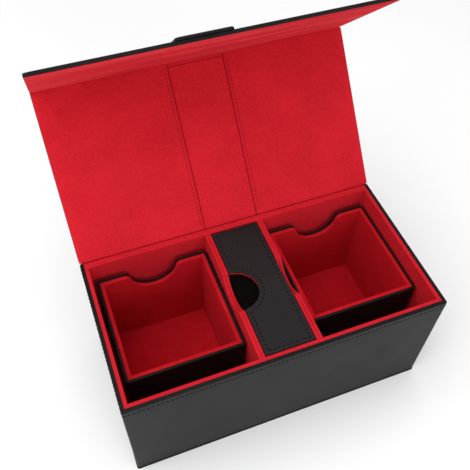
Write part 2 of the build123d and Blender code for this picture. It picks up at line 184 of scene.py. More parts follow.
class ShaderBench:
    """The node tree of one material, filled by expressions."""

    def __init__(self, name: str) -> None:
        """Start a material with its main shader."""
        self.material = bpy.data.materials.new(name)
        self.material.use_nodes = True
        self.tree = self.material.node_tree
        self.shader = self.tree.nodes["Principled BSDF"]

    def feed(self, socket: bpy.types.NodeSocket, value: object) -> None:
        """Link a wire to a socket, or set the socket's own value.

        Args:
            socket: The input that is fed.
            value: A wire, or a plain value.
        """
        if isinstance(value, Wire):
            self.tree.links.new(value.socket, socket)
        else:
            socket.default_value = value

    def node(
        self,
        kind: str,
        settings: dict | None = None,
        values: dict | None = None,
        output: int | str = 0,
    ) -> Wire:
        """Add a node.

        Args:
            kind: Blender's type name.
            settings: Attributes set first.
            values: Values or wires by socket name or number.
            output: The output that is handed back.

        Returns:
            The wire of that output.
        """
        made = self.tree.nodes.new(kind)
        for name, value in (settings or {}).items():
            setattr(made, name, value)
        for key, value in (values or {}).items():
            self.feed(made.inputs[key], value)
        return Wire(self, made.outputs[output])

    def place(self) -> Wire:
        """Place on the object, in metres."""
        return self.node("ShaderNodeTexCoord", output="Object")

    def along_cloth(self) -> tuple[Wire, Wire]:
        """Place on the sheet itself.

        Returns:
            Metres across the sheet and metres along it.
        """
        cloth = self.node("ShaderNodeUVMap", {"uv_map": CLOTH_MAP})
        parts = self.node("ShaderNodeSeparateXYZ", values={0: cloth})
        return parts, Wire(self, parts.socket.node.outputs[1])

    def level(self) -> Wire:
        """Height above the table, in metres."""
        return self.node(
            "ShaderNodeSeparateXYZ", values={0: self.place()}, output="Z"
        )

    def cloud(self, size: float, detail: float = 2.0, rough: float = 0.5) -> Wire:
        """Soft noise from 0 to 1.

        Args:
            size: Width of one patch in metres.
            detail: Octaves of finer noise.
            rough: Strength of the finer noise.

        Returns:
            The noise value.
        """
        return self.node(
            "ShaderNodeTexNoise",
            values={
                "Vector": self.place(),
                "Scale": 1 / size,
                "Detail": detail,
                "Roughness": rough,
            },
        )

    def brushed(self, length: float, width: float) -> Wire:
        """Noise drawn out along X, from 0 to 1.

        Args:
            length: Length of one streak in metres.
            width: Its width in metres.

        Returns:
            The noise value.
        """
        scale = (1 / length, 1 / width, 1 / width)
        drawn = self.node(
            "ShaderNodeMapping", values={"Vector": self.place(), "Scale": scale}
        )
        return self.node(
            "ShaderNodeTexNoise", values={"Vector": drawn, "Scale": 1.0, "Detail": 3.0}
        )

    def pebbles(self, size: float) -> Wire:
        """Rounded cells, 0 in a cell's middle and 1 near its edge.

        Args:
            size: Width of one cell in metres.

        Returns:
            The cell value.
        """
        return self.node(
            "ShaderNodeTexVoronoi",
            {"feature": "SMOOTH_F1"},
            {"Vector": self.place(), "Scale": 1 / size, "Smoothness": 0.6},
        )

    def blend(self, share: Wire | float, first: object, second: object) -> Wire:
        """Mix two colours.

        Args:
            share: Share of the second colour, from 0 to 1.
            first: Colour at 0.
            second: Colour at 1.

        Returns:
            The mixed colour.
        """
        return self.node(
            "ShaderNodeMix",
            {"data_type": "RGBA"},
            {0: share, 6: first, 7: second},
            output=2,
        )

    def relief(self, height: Wire, distance: float, strength: float) -> Wire:
        """Bump the surface.

        Args:
            height: Height from 0 to 1.
            distance: Depth of the relief in metres.
            strength: Share of the relief that shows.

        Returns:
            The bumped normal.
        """
        return self.node(
            "ShaderNodeBump",
            values={"Height": height, "Distance": distance, "Strength": strength},
        )

    def set(self, **values: object) -> bpy.types.Material:
        """Set the main shader's sockets.

        Args:
            values: Values or wires by socket name, with _ for a space.

        Returns:
            The finished material.
        """
        for name, value in values.items():
            self.feed(self.shader.inputs[name.replace("_", " ")], value)
        return self.material


# ---------------------------------------------------------------- finishes
@dataclass(frozen=True)
class LeatherFinish:
    """Black coated leather with a pressed grain; along an optional stitch groove it is
    darkened, painted shade of that groove.
    """

    HANDLED_PATCH: ClassVar[float] = 0.045
    MOTTLE_PATCH: ClassVar[float] = 0.006
    RELIEF_DEPTH: ClassVar[float] = 0.00022
    CHANNEL_FLOOR: ClassVar[float] = 0.0005
    CHANNEL_EDGE: ClassVar[float] = 0.0012
    DIAGONAL: ClassVar[float] = 0.7071

    name: str
    shade: Colour
    rubbed: Colour
    grain: Grain
    roughness: float = 0.5
    pitch: float = 0.0011
    gloss: float = 0.12
    contrast: float = 0.4
    patches: float = 0.5
    channel_shade_level: float | None = None

    def height(self, bench: ShaderBench) -> Wire:
        """Height of the pressed grain.

        Args:
            bench: The tree that it is written in.

        Returns:
            The height from 0 to 1.
        """
        fine = bench.cloud(self.pitch * 0.5, 3.0, 0.6)
        if self.grain is Grain.TWILL:
            across, along = bench.along_cloth()
            turn = 2 * pi / self.pitch * self.DIAGONAL
            one = ((across + along) * turn).sine()
            two = ((across - along) * turn).sine()
            return one.at_least(two) * 0.45 + fine * 0.25
        if self.grain is Grain.PEBBLE:
            return (1 - bench.pebbles(self.pitch)) * 0.8 + fine * 0.3
        return fine * 0.5 + bench.cloud(self.pitch * 4, 2.0) * 0.3

    def make(self) -> bpy.types.Material:
        """Make the material."""
        bench = ShaderBench(self.name)
        height = self.height(bench)
        handled = bench.cloud(self.HANDLED_PATCH, 3.0, 0.55).held(0.35, 0.72)
        mottle = bench.cloud(self.MOTTLE_PATCH, 2.0).held(0.3, 0.7)
        share = (handled * 0.7 + mottle * 0.3) * self.patches + height * self.contrast
        # Near the stitch level the colour is pulled to the dark shade: painted shade of
        # the groove, on top of its real bump.
        if self.channel_shade_level is not None:
            away = (bench.level() - self.channel_shade_level).size()
            pressed = away.held(self.CHANNEL_FLOOR, self.CHANNEL_EDGE)
            share = share * pressed
            height = height * 0.4 + pressed * 0.6
        return bench.set(
            Base_Color=bench.blend(share, self.shade, self.rubbed),
            Roughness=self.roughness + handled * 0.07 - height * 0.06,
            Normal=bench.relief(height, self.RELIEF_DEPTH, 0.55),
            Specular_IOR_Level=self.gloss,
        )


@dataclass(frozen=True)
class SuedeFinish:
    """Short-napped suede, darker where the nap is stroked away; optional lighter stripes
    along X are painted highlights of wrinkles.
    """

    HAIR: ClassVar[float] = 0.0006
    TUFT: ClassVar[float] = 0.0021
    STROKE: ClassVar[float] = 0.034
    HIGHLIGHT_STREAK_LENGTH: ClassVar[float] = 0.09
    HIGHLIGHT_STREAK_WIDTH: ClassVar[float] = 0.006
    NAP_DEPTH: ClassVar[float] = 0.0004

    name: str
    shade: Colour
    stroked: Colour
    lit: Colour
    sheen: float = 0.12
    wrinkle_highlights: float = 0.0

    def make(self) -> bpy.types.Material:
        """Make the material."""
        bench = ShaderBench(self.name)
        hairs = bench.cloud(self.HAIR, 4.0, 0.7)
        tufts = bench.cloud(self.TUFT, 3.0, 0.65).held(0.34, 0.66)
        strokes = bench.cloud(self.STROKE, 3.0, 0.55).held(0.34, 0.68)
        nap = bench.blend(strokes * 0.45 + tufts * 0.4, self.shade, self.stroked)
        # Lighter stripes drawn along X, blended to the lit colour: painted highlights of
        # wrinkles in the suede.
        if self.wrinkle_highlights:
            drawn = bench.brushed(self.HIGHLIGHT_STREAK_LENGTH, self.HIGHLIGHT_STREAK_WIDTH)
            nap = bench.blend(drawn.held(0.45, 0.72) * self.wrinkle_highlights, nap, self.lit)
        tips = hairs.held(0.45, 0.75) * 0.35
        return bench.set(
            Base_Color=bench.blend(tips, nap, self.lit),
            Roughness=0.88 + hairs * 0.1,
            Normal=bench.relief(hairs * 0.5 + tufts * 0.5, self.NAP_DEPTH, 0.5),
            Sheen_Weight=self.sheen,
            Sheen_Roughness=0.5,
            Sheen_Tint=paint(255, 90, 95),
            Specular_IOR_Level=0.06,
        )


@dataclass(frozen=True)
class ThreadFinish:
    """Waxed sewing thread with its plies showing."""

    PLY: ClassVar[float] = 0.0003
    PLY_DEPTH: ClassVar[float] = 0.0001

    name: str
    shade: Colour
    lit: Colour

    def make(self) -> bpy.types.Material:
        """Make the material."""
        bench = ShaderBench(self.name)
        plies = bench.cloud(self.PLY, 2.0)
        return bench.set(
            Base_Color=bench.blend(plies.held(0.3, 0.7), self.shade, self.lit),
            Roughness=0.65 + plies * 0.25,
            Normal=bench.relief(plies, self.PLY_DEPTH, 0.5),
            Specular_IOR_Level=0.08,
        )


@dataclass(frozen=True)
class BoardFinish:
    """Pressed grey board, with flecks of paper in it."""

    PULP: ClassVar[float] = 0.0012
    PULP_DEPTH: ClassVar[float] = 0.0001

    name: str = "grey_board"
    shade: Colour = paint(120, 112, 102)
    fleck: Colour = paint(90, 84, 78)

    def make(self) -> bpy.types.Material:
        """Make the material."""
        bench = ShaderBench(self.name)
        pulp = bench.cloud(self.PULP, 4.0, 0.7)
        return bench.set(
            Base_Color=bench.blend(pulp.held(0.35, 0.7), self.shade, self.fleck),
            Roughness=0.85 + pulp * 0.1,
            Normal=bench.relief(pulp, self.PULP_DEPTH, 0.4),
        )


@dataclass(frozen=True)
class MagnetFinish:
    """Nickel-plated magnet disc."""

    SCUFF: ClassVar[float] = 0.0015

    name: str = "nickel_plate"
    shade: Colour = paint(186, 186, 182)
    dulled: Colour = paint(150, 150, 148)

    def make(self) -> bpy.types.Material:
        """Make the material."""
        bench = ShaderBench(self.name)
        scuff = bench.cloud(self.SCUFF, 4.0, 0.65)
        return bench.set(
            Base_Color=bench.blend(scuff.held(0.4, 0.7), self.shade, self.dulled),
            Metallic=1.0,
            Roughness=0.22 + scuff * 0.25,
        )


@dataclass(frozen=True)
class FloorFinish:
    """Pale studio floor."""

    PATCH: ClassVar[float] = 0.3

    name: str = "studio_floor"
    shade: Colour = (0.98, 0.98, 0.98, 1.0)
    trace: Colour = (0.96, 0.96, 0.96, 1.0)

    def make(self) -> bpy.types.Material:
        """Make the material."""
        bench = ShaderBench(self.name)
        return bench.set(
            Base_Color=bench.blend(bench.cloud(self.PATCH), self.shade, self.trace),
            Roughness=0.9,
            Specular_IOR_Level=0.1,
        )


class Palette:
    """Every finish of the box, made once."""

    def __init__(self) -> None:
        """Make the materials."""
        black, rubbed = paint(11, 11, 11), paint(29, 29, 29)
        self.case_leather = LeatherFinish(
            "case_leather",
            black,
            rubbed,
            Grain.PEBBLE,
            pitch=0.0009,
            # The rim's stitch groove gets painted shade.
            channel_shade_level=Case().stitch_level,
        ).make()
        self.lid_leather = LeatherFinish(
            "lid_leather", black, rubbed, Grain.PEBBLE, pitch=0.0009
        ).make()
        self.sleeve_leather = LeatherFinish(
            "sleeve_leather",
            paint(19, 19, 20),
            paint(60, 60, 62),
            Grain.TWILL,
            pitch=0.0015,
            contrast=0.65,
            patches=0.1,
        ).make()
        self.deck_leather = LeatherFinish(
            "deck_leather", paint(14, 12, 11), paint(30, 26, 24), Grain.SMOOTH
        ).make()
        # Near-black leather for the drawer tray, darker than the other leathers: black
        # leather with painted shade of the hollow under the sleeve's notch.
        self.tray_leather_painted_shade = LeatherFinish(
            "tray_leather_painted_shade",
            paint(4, 3, 3),
            paint(9, 8, 8),
            Grain.SMOOTH,
            roughness=0.8,
            gloss=0.04,
        ).make()
        self.suede = SuedeFinish(
            "red_suede", paint(204, 31, 44), paint(176, 20, 31), paint(226, 62, 72)
        ).make()
        # The flap's suede: a brighter lit colour and lighter stripes, painted highlights
        # of its wrinkles.
        self.flap_suede_painted_highlights = SuedeFinish(
            "flap_suede_painted_highlights",
            paint(204, 31, 44),
            paint(176, 20, 31),
            paint(232, 78, 88),
            wrinkle_highlights=0.6,
        ).make()
        # A darker, deeper red copy of the suede for the deck linings: painted shade of
        # the deep deck interiors.
        self.deck_suede_painted_shade = SuedeFinish(
            "deck_suede_painted_shade",
            paint(196, 23, 36),
            paint(166, 14, 24),
            paint(210, 42, 53),
            sheen=0.06,
        ).make()
        # Darker suede for the seam grooves, the fold seam and the hinge crease: painted
        # shade of those recesses.
        self.painted_shade_suede = SuedeFinish(
            "painted_shade_suede",
            paint(158, 18, 28),
            paint(140, 14, 23),
            paint(172, 28, 38),
            sheen=0.0,
        ).make()
        self.black_thread = ThreadFinish(
            "black_thread", paint(3, 3, 3), paint(10, 10, 10)
        ).make()
        self.red_thread = ThreadFinish(
            "red_thread", paint(112, 8, 16), paint(146, 14, 24)
        ).make()
        self.board = BoardFinish().make()
        self.magnet = MagnetFinish().make()
        self.floor = FloorFinish().make()


# ---------------------------------------------------------------- places
@dataclass(frozen=True)
class Leaf:
    """A flat leaf that turns about a line along X; the suede face is at out 0."""

    y: float
    z: float
    angle: float

    @property
    def outward(self) -> Vector:
        """Direction out of the leather face."""
        return Vector((0, sin(radians(self.angle)), cos(radians(self.angle))))

    @property
    def along(self) -> Vector:
        """Direction away from the hinge line."""
        return Vector((0, -cos(radians(self.angle)), sin(radians(self.angle))))

    def point(self, x: float, along: float, out: float) -> Vector:
        """A place on the leaf.

        Args:
            x: Place across the box.
            along: Distance from the hinge line.
            out: Distance from the suede face towards the leather.

        Returns:
            The point in the part's frame.
        """
        return Vector((x, self.y, self.z)) + self.along * along + self.outward * out


@dataclass(frozen=True)
class StitchLine:
    """A sewn line on a surface: the points it runs through and the way it faces."""

    points: tuple[Vector, ...]
    facing: Vector | None = None


@dataclass(frozen=True)
class Stitching:
    """Size of the stitches along a sewn line."""

    pitch: float = 0.0034
    length: float = 0.0024
    width: float = 0.0012
    proud: float = 0.00025
    slack: float = 1e-9

    def spots(self, line: StitchLine) -> list[tuple[Vector, Vector, Vector]]:
        """Walk a line and stop at each stitch.

        Args:
            line: The sewn line.

        Returns:
            Centre, direction and facing of each stitch.
        """
        runs = list(zip(line.points, line.points[1:]))
        whole = sum((end - start).length for start, end in runs)
        count = max(1, round(whole / self.pitch))
        step, found = whole / count, []
        reach, passed = step / 2, 0.0
        for start, end in runs:
            span = (end - start).length
            while reach <= passed + span + self.slack:
                way = (end - start).normalized()
                facing = line.facing or way.cross(Vector((0, 0, 1)))
                found.append((start + way * (reach - passed), way, facing))
                reach += step
            passed += span
        return found

    def add_to(self, mesh: bmesh.types.BMesh, line: StitchLine) -> None:
        """Add one line's stitches to a mesh.

        Args:
            mesh: The mesh that grows.
            line: The sewn line.
        """
        for centre, way, facing in self.spots(line):
            side, half = way.cross(facing).normalized(), self.width / 2
            turned = Matrix((side, way, facing)).transposed().to_4x4()
            sized = Matrix.Diagonal((half, self.length / 2, half, 1.0))
            middle = centre - facing * (half - self.proud)
            bmesh.ops.create_uvsphere(
                mesh,
                u_segments=6,
                v_segments=5,
                radius=1.0,
                matrix=Matrix.Translation(middle) @ turned @ sized,
            )


class Workshop:
    """Makes and hands over the pieces: softened sheets, blended strips and stitches."""

    def __init__(self, frame: dict, palette: Palette) -> None:
        """Keep the loaded frame and the finishes."""
        self.frame = frame
        self.palette = palette

    def keep(
        self, mesh: bmesh.types.BMesh, name: str, material: bpy.types.Material
    ) -> bpy.types.Object:
        """Turn a mesh into a smooth-shaded object with its cloth map.

        Args:
            mesh: The finished mesh, which is freed.
            name: Name of the piece.
            material: Its finish.

        Returns:
            The new object, at the origin.
        """
        self.lay_cloth_map(mesh)
        data = bpy.data.meshes.new(name)
        mesh.to_mesh(data)
        mesh.free()
        data.materials.append(material)
        data.shade_smooth()
        data.set_sharp_from_angle(angle=SHARP_ANGLE)
        piece = bpy.data.objects.new(name, data)
        bpy.context.scene.collection.objects.link(piece)
        LOG.info("%s: %d faces", name, len(data.polygons))
        return piece

    @staticmethod
    def lay_cloth_map(mesh: bmesh.types.BMesh) -> None:
        """Map each face flat, in metres, the way a sheet is wrapped on it.

        Args:
            mesh: The finished mesh.
        """
        layer = mesh.loops.layers.uv.new(CLOTH_MAP)
        for face in mesh.faces:
            normal = face.normal
            if abs(normal.x) > max(abs(normal.y), abs(normal.z)):
                across, along = Vector((0, 1, 0)), Vector((0, 0, 1))
            else:
                across = Vector((1, 0, 0))
                along = normal.cross(across).normalized()
            for loop in face.loops:
                loop[layer].uv = (loop.vert.co.dot(across), loop.vert.co.dot(along))

    def softened(
        self,
        node: str,
        material: bpy.types.Material,
        ease: float,
        body: str,
        shaping: Shaping | None = None,
    ) -> None:
        """Stand a softened copy of a CAD sheet in the sheet's place.

        Args:
            node: The CAD node.
            material: Its finish.
            ease: How far its edges are rounded.
            body: The CAD body it rides on.
            shaping: Draws the merged sheet to its last shape.
        """
        mesh = bmesh.new()
        mesh.from_mesh(self.frame["nodes"][node].data)
        bmesh.ops.remove_doubles(mesh, verts=mesh.verts, dist=MERGE)
        if shaping:
            shaping(mesh)
            mesh.normal_update()
        bmesh.ops.dissolve_limit(
            mesh, angle_limit=FLAT_ANGLE, verts=mesh.verts, edges=mesh.edges
        )
        hard = [
            edge
            for edge in mesh.edges
            if edge.is_manifold and edge.calc_face_angle() > HARD_ANGLE
        ]
        bmesh.ops.bevel(
            mesh,
            geom=hard,
            offset=ease,
            offset_type="OFFSET",
            segments=3,
            profile=0.5,
            affect="EDGES",
            clamp_overlap=True,
            material=-1,
        )
        piece = self.keep(mesh, f"soft_{node}", material)
        weights = piece.modifiers.new("even_faces", "WEIGHTED_NORMAL")
        weights.keep_sharp = True
        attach(piece, body)
        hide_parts(node)

    def dress(self, node: str, material: bpy.types.Material) -> None:
        """Give a CAD node that stays its finish.

        Args:
            node: The CAD node.
            material: Its finish.
        """
        for held in self.frame["nodes"][node].material_slots:
            held.material = material
        LOG.info("%s: dressed", node)

    def sewn(
        self,
        name: str,
        lines: list[StitchLine],
        stitching: Stitching,
        material: bpy.types.Material,
        body: str,
    ) -> None:
        """Sew lines of stitches on a body.

        Args:
            name: Name of the piece.
            lines: The sewn lines.
            stitching: Size of the stitches.
            material: The thread.
            body: The CAD body it rides on.
        """
        mesh = bmesh.new()
        for line in lines:
            stitching.add_to(mesh, line)
        piece = self.keep(mesh, name, material)
        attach(piece, body)


# ---------------------------------------------------------------- sub-assemblies
@dataclass
class Case:
    """Outer box: leather walls, suede inside, two dividers and the base sheet."""

    width: float = 0.250
    depth: float = 0.128
    height: float = 0.111
    corner: float = 0.0035
    drawn_corner: float = 0.0014
    skin: float = 0.0008
    base_proud: float = 0.0005
    stitch_drop: float = 0.0048
    corner_steps: int = 4

    @property
    def stitch_level(self) -> float:
        """Height of the sewn line round the rim."""
        return self.height - self.stitch_drop

    def build(self, shop: Workshop) -> None:
        """Build and dress the case."""
        look = shop.palette
        shop.softened(
            "case_cover",
            look.case_leather,
            SHEET_EASE,
            "case",
            lambda mesh: self.draw_corners(mesh, 0.0),
        )
        shop.softened("wall_lining", look.suede, SHEET_EASE, "case")
        shop.softened("floor_lining", look.suede, SHEET_EASE, "case")
        for hand in ("left", "right"):
            lining = f"{hand}_divider_lining"
            shop.softened(lining, look.suede, FINE_EASE, "case")
        shop.softened(
            "base_sheet",
            look.deck_leather,
            FINE_EASE,
            "case",
            lambda mesh: self.draw_corners(mesh, self.base_proud),
        )
        for node in ("floor", "front", "back", "left_side", "right_side"):
            shop.dress(f"{node}_board", look.board)
        for hand in ("left", "right"):
            shop.dress(f"{hand}_divider_board", look.board)
        shop.dress("front_magnets", look.magnet)
        shop.sewn(
            "case_rim_stitches",
            [self.rim_line()],
            Stitching(width=0.0015, length=0.0026, proud=0.0003),
            look.black_thread,
            "case",
        )

    def draw_corners(self, mesh: bmesh.types.BMesh, proud: float) -> None:
        """Draw the leather tight over the four upright corners.

        Each outer vertex of a corner moves straight out from the old centre of
        rounding, to the wall or to the smaller round, whichever its ray meets.

        Args:
            mesh: The sheet.
            proud: How far the sheet stands out past the walls.
        """
        was, now = self.corner + proud, self.drawn_corner + proud
        half_x, half_y = self.width / 2 + proud, self.depth / 2 + proud
        for vertex in mesh.verts:
            x, y = vertex.co.x, vertex.co.y
            over_x, over_y = abs(x) - (half_x - was), abs(y) - (half_y - was)
            if min(over_x, over_y) <= TOUCH or hypot(over_x, over_y) < was - self.skin:
                continue
            turn = atan2(over_y, over_x)
            turn = min(turn, pi / 2 - turn)
            side = was - now
            reach = was / cos(turn)
            if was * sin(turn) / cos(turn) > side:
                both, apart = cos(turn) + sin(turn), cos(turn) - sin(turn)
                reach = side * both + sqrt(now * now - (side * apart) ** 2)
            grow = reach / was
            vertex.co.x = copysign(half_x - was + over_x * grow, x)
            vertex.co.y = copysign(half_y - was + over_y * grow, y)

    def rim_line(self) -> StitchLine:
        """Sewn line below the rim, round the two sides and the front.

        Returns:
            The line, from the left side's back end to the right side's.
        """
        level = self.stitch_level
        half_x, half_y, bend = self.width / 2, self.depth / 2, self.drawn_corner
        points = [Vector((-half_x, half_y - bend, level))]
        for side, start in ((-1, pi), (1, 1.5 * pi)):
            for step in range(self.corner_steps + 1):
                turn = start + step * pi / 2 / self.corner_steps
                x = side * (half_x - bend) + bend * cos(turn)
                y = bend - half_y + bend * sin(turn)
                points.append(Vector((x, y, level)))
        points.append(Vector((half_x, half_y - bend, level)))
        return StitchLine(tuple(points))


@dataclass
class LidAndFlap:
    """Hinged lid in three suede panels, and the flap that folds down from it."""

    width: float = 0.250
    lid: Leaf = Leaf(0.0634, 0.1115, 130.0)
    lid_length: float = 0.1315
    flap_angle: float = 43.0
    thick: float = 0.0030
    leather: float = 0.0009
    suede: float = 0.0007
    seam_x: float = 0.0223
    seam_width: float = 0.0010
    hinge_gap: float = 0.0015
    hinge_lap: float = 0.0080
    hinge_width: float = 0.2476
    back_y: float = 0.064
    rim_z: float = 0.111
    fold_gap: float = 0.0006
    fold_lap: float = 0.0010
    fold_steps: int = 8
    crease_end: float = 0.0003
    near: float = 0.0001
    lining_margin: float = 0.0006
    lining_reach: float = 0.0007
    tuck: float = 0.00035
    setback: float = 0.0002
    seam_depth: float = 0.0003
    end_seam_drop: float = 0.0028
    end_seam_out: float = 0.00005
    end_seam_short: float = 0.0012
    end_seam_width: float = 0.0008
    end_seam_depth: float = 0.0002
    stitch_offset: float = 0.0028
    stitch_run: tuple[float, float] = (0.003, 0.129)
    wall_end: float = 0.0018
    hinge_round: float = 0.0006
    crease_round: float = 0.0003
    fold_overlap: float = 0.0003
    fold_suede: float = 0.0005
    fold_depth: float = 0.6  # share of the suede, at the strip's two ends
    corner_depth: float = 1.3  # share of that depth, at its corner

    @property
    def flap(self) -> Leaf:
        """The flap's own leaf, at the fold line."""
        fold = self.lid.point(0, self.lid_length, 0)
        return Leaf(fold.y, fold.z, self.flap_angle)

    def build(self, shop: Workshop) -> None:
        """Build and dress the lid and its flap."""
        look = shop.palette
        for panel in ("left", "centre", "right"):
            shop.softened(
                f"lid_lining_{panel}",
                look.suede,
                FINE_EASE,
                "lid",
                self.spread_lining,
            )
        shop.softened(
            "lid_cover",
            look.lid_leather,
            SHEET_EASE,
            "lid",
            lambda mesh: self.tuck_edge(mesh, self.lid),
        )
        shop.dress("lid_board", look.board)
        shop.softened(
            "flap_lining",
            look.flap_suede_painted_highlights,
            FINE_EASE,
            "flap",
            self.widen_lining,
        )
        shop.softened(
            "flap_cover",
            look.lid_leather,
            SHEET_EASE,
            "flap",
            lambda mesh: self.tuck_edge(mesh, self.flap),
        )
        shop.softened("flap_tab", look.lid_leather, ROLLED_EASE, "flap")
        shop.dress("flap_board", look.board)
        shop.dress("flap_magnets", look.magnet)
        self.build_seams(shop)
        self.build_hinge(shop)
        self.build_fold(shop)

    def widen_lining(self, mesh: bmesh.types.BMesh) -> None:
        """Bring a lining out over the turned leather at the two ends of its leaf.

        Args:
            mesh: The lining.
        """
        inner = self.width / 2 - self.leather - self.lining_margin
        for vertex in mesh.verts:
            if abs(vertex.co.x) > inner:
                vertex.co.x += copysign(self.lining_reach, vertex.co.x)

    def spread_lining(self, mesh: bmesh.types.BMesh) -> None:
        """Bring a lid panel out over the leather and down to the hinge crease.

        Args:
            mesh: The panel.
        """
        self.widen_lining(mesh)
        for vertex in mesh.verts:
            offset = vertex.co - self.lid.point(vertex.co.x, 0, 0)
            if offset.dot(self.lid.along) < self.hinge_gap + self.near:
                vertex.co -= self.lid.along * (self.hinge_gap - self.crease_end)

    def tuck_edge(self, mesh: bmesh.types.BMesh, leaf: Leaf) -> None:
        """Tuck the turned edge of the leather a little behind the suede face.

        Args:
            mesh: The leather.
            leaf: The leaf that it covers.
        """
        for vertex in mesh.verts:
            offset = vertex.co - leaf.point(vertex.co.x, 0, 0)
            if offset.dot(leaf.outward) < self.near:
                vertex.co += leaf.outward * self.tuck

    def lay_slat(
        self, mesh: bmesh.types.BMesh, centre: Vector, size: tuple[float, float, float]
    ) -> None:
        """Lay one flat slat on the lid.

        Args:
            mesh: The mesh that grows.
            centre: Its centre.
            size: Its size across, along and through the lid.
        """
        axes = (Vector((1, 0, 0)), self.lid.along, self.lid.outward)
        turned = Matrix(axes).transposed().to_4x4()
        bmesh.ops.create_cube(
            mesh,
            size=1.0,
            matrix=Matrix.Translation(centre) @ turned @ Matrix.Diagonal((*size, 1.0)),
        )

    def build_seams(self, shop: Workshop) -> None:
        """Line the seams of the centre panel with dark suede strips, painted shade of
        the seam grooves and the fold seam, and sew beside the two long ones.
        """
        lid, mesh = self.lid, bmesh.new()
        top = self.lid_length - self.fold_gap
        length, middle = top - self.hinge_gap, (top + self.hinge_gap) / 2
        deep = self.suede - self.seam_depth / 2
        for side in (-1, 1):
            self.lay_slat(
                mesh,
                lid.point(side * self.seam_x, middle, deep),
                (self.seam_width, length, self.seam_depth),
            )
        # A dark strip across the centre panel below the fold: painted shade of the fold
        # seam.
        self.lay_slat(
            mesh,
            lid.point(0, self.lid_length - self.end_seam_drop, self.end_seam_out),
            (
                2 * self.seam_x - self.end_seam_short,
                self.end_seam_width,
                self.end_seam_depth,
            ),
        )
        seams = shop.keep(mesh, "lid_seam_shade_strips", shop.palette.painted_shade_suede)
        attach(seams, "lid")
        lines = []
        for side in (-1, 1):
            x = side * (self.seam_x + self.stitch_offset)
            run = tuple(lid.point(x, along, 0) for along in self.stitch_run)
            lines.append(StitchLine(run, -lid.outward))
        shop.sewn(
            "lid_seam_stitches",
            lines,
            Stitching(pitch=0.0030, length=0.0021, width=0.0007),
            shop.palette.red_thread,
            "lid",
        )

    def strip(
        self,
        shop: Workshop,
        name: str,
        path: list[Vector],
        half: float,
        thickness: float,
        material: bpy.types.Material,
        round_by: float,
    ) -> bpy.types.Object:
        """Make a strip that runs the width of the box along a bent path.

        Args:
            shop: The workshop.
            name: Name of the piece.
            path: Points of the middle of its thickness, at x 0.
            half: Half its length along X.
            thickness: Its thickness.
            material: Its finish.
            round_by: How far its bends are rounded, 0 to leave them.

        Returns:
            The strip.
        """
        mesh = bmesh.new()
        points = [mesh.verts.new(place - Vector((half, 0, 0))) for place in path]
        for first, second in zip(points, points[1:]):
            mesh.edges.new((first, second))
        if round_by:
            bmesh.ops.bevel(
                mesh,
                geom=points[1:-1],
                offset=round_by,
                offset_type="OFFSET",
                segments=BEND_SEGMENTS,
                profile=0.5,
                affect="VERTICES",
                clamp_overlap=True,
                material=-1,
            )
        long = [edge for edge in mesh.edges if edge.calc_length() > LONG_RUN]
        bmesh.ops.subdivide_edges(mesh, edges=long, cuts=RUN_CUTS)
        swept = bmesh.ops.extrude_edge_only(mesh, edges=mesh.edges[:])
        moved = [part for part in swept["geom"] if isinstance(part, bmesh.types.BMVert)]
        bmesh.ops.translate(mesh, verts=moved, vec=Vector((2 * half, 0, 0)))
        bmesh.ops.recalc_face_normals(mesh, faces=mesh.faces[:])
        for vertex in mesh.verts:
            vertex.normal_update()
        for vertex in mesh.verts:
            vertex.co += vertex.normal * (thickness / 2)
        bmesh.ops.solidify(mesh, geom=mesh.faces[:], thickness=thickness)
        bmesh.ops.recalc_face_normals(mesh, faces=mesh.faces[:])
        return shop.keep(mesh, name, material)

    def build_hinge(self, shop: Workshop) -> None:
        """Build the leather and the suede that carry the lid on the back wall; the suede
        is darkened, painted shade of the hinge crease.
        """
        middle = self.thick - self.leather / 2
        wall_y = self.back_y - self.leather / 2
        leather = self.strip(
            shop,
            "hinge_leather",
            [
                Vector((0, wall_y, self.rim_z - self.hinge_lap)),
                Vector((0, wall_y, self.rim_z - self.wall_end)),
                self.lid.point(0, self.hinge_gap / 2, middle),
                self.lid.point(0, self.hinge_lap, middle),
            ],
            self.hinge_width / 2,
            self.leather,
            shop.palette.lid_leather,
            self.hinge_round,
        )
        tuple(self.lid.point(0, self.hinge_gap, middle))
        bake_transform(leather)
        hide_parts("lid_hinge_leather")
        suede_z = self.rim_z - self.setback - self.suede / 2
        # The hinge suede is the darker suede: painted shade in the crease at the hinge.
        suede = self.strip(
            shop,
            "hinge_suede",
            [
                Vector((0, self.back_y - self.leather, suede_z)),
                Vector((0, self.back_y - self.setback, suede_z)),
                self.lid.point(0, self.hinge_gap / 2, self.suede / 2),
                self.lid.point(0, self.hinge_gap + self.setback, self.suede / 2),
            ],
            self.hinge_width / 2 - self.near,
            self.suede,
            shop.palette.painted_shade_suede,
            self.crease_round,
        )
        tuple(self.lid.point(0, self.hinge_gap, self.suede / 2))
        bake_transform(suede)
        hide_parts("lid_hinge_suede")

